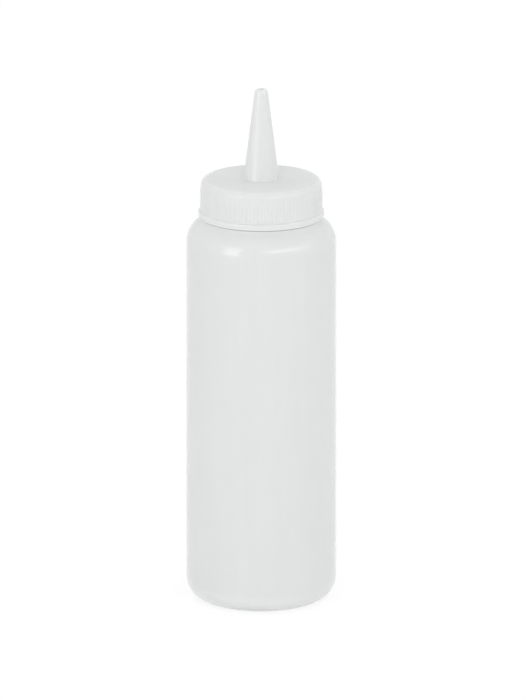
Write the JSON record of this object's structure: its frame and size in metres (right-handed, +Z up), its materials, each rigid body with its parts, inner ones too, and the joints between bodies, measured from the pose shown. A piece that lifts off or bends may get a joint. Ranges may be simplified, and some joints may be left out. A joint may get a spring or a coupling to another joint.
{
  "type": "squeeze bottle",
  "caption": "Round plastic squeeze bottle with a threaded neck, a ribbed screw cap and a long tapered pouring nozzle.",
  "frame": {"origin": "middle of the foot, on the surface that the bottle stands on", "axes": "+Z up along the bottle's axis, towards the nozzle's tip; +X and +Y level, with the mould's parting line in the XZ plane"},
  "size_m": [0.057, 0.057, 0.2],
  "materials": {
    "milky_polyethylene": "satin",
    "cap_polyethylene": "satin",
    "washer_foam": "matte"
  },
  "bodies": {
    "bottle": {"bottle": "milky_polyethylene"},
    "seal": {"sealing_washer": "washer_foam"},
    "cap": {"nozzle_cap": "cap_polyethylene"}
  },
  "joints": [
    {"name": "cap_rise", "type": "slide", "parent": "bottle", "child": "seal", "axis": [0, 0, 1], "range_m": [0, 0.0212]},
    {"name": "cap_turn", "type": "hinge", "parent": "seal", "child": "cap", "pos_m": [0, 0, 0.1625], "axis": [0, 0, 1], "range_deg": [0, 1800]}
  ],
  "couplings": [
    {"joint": "cap_rise", "follows": "cap_turn", "m_per_rad": 0.00067322}
  ]
}
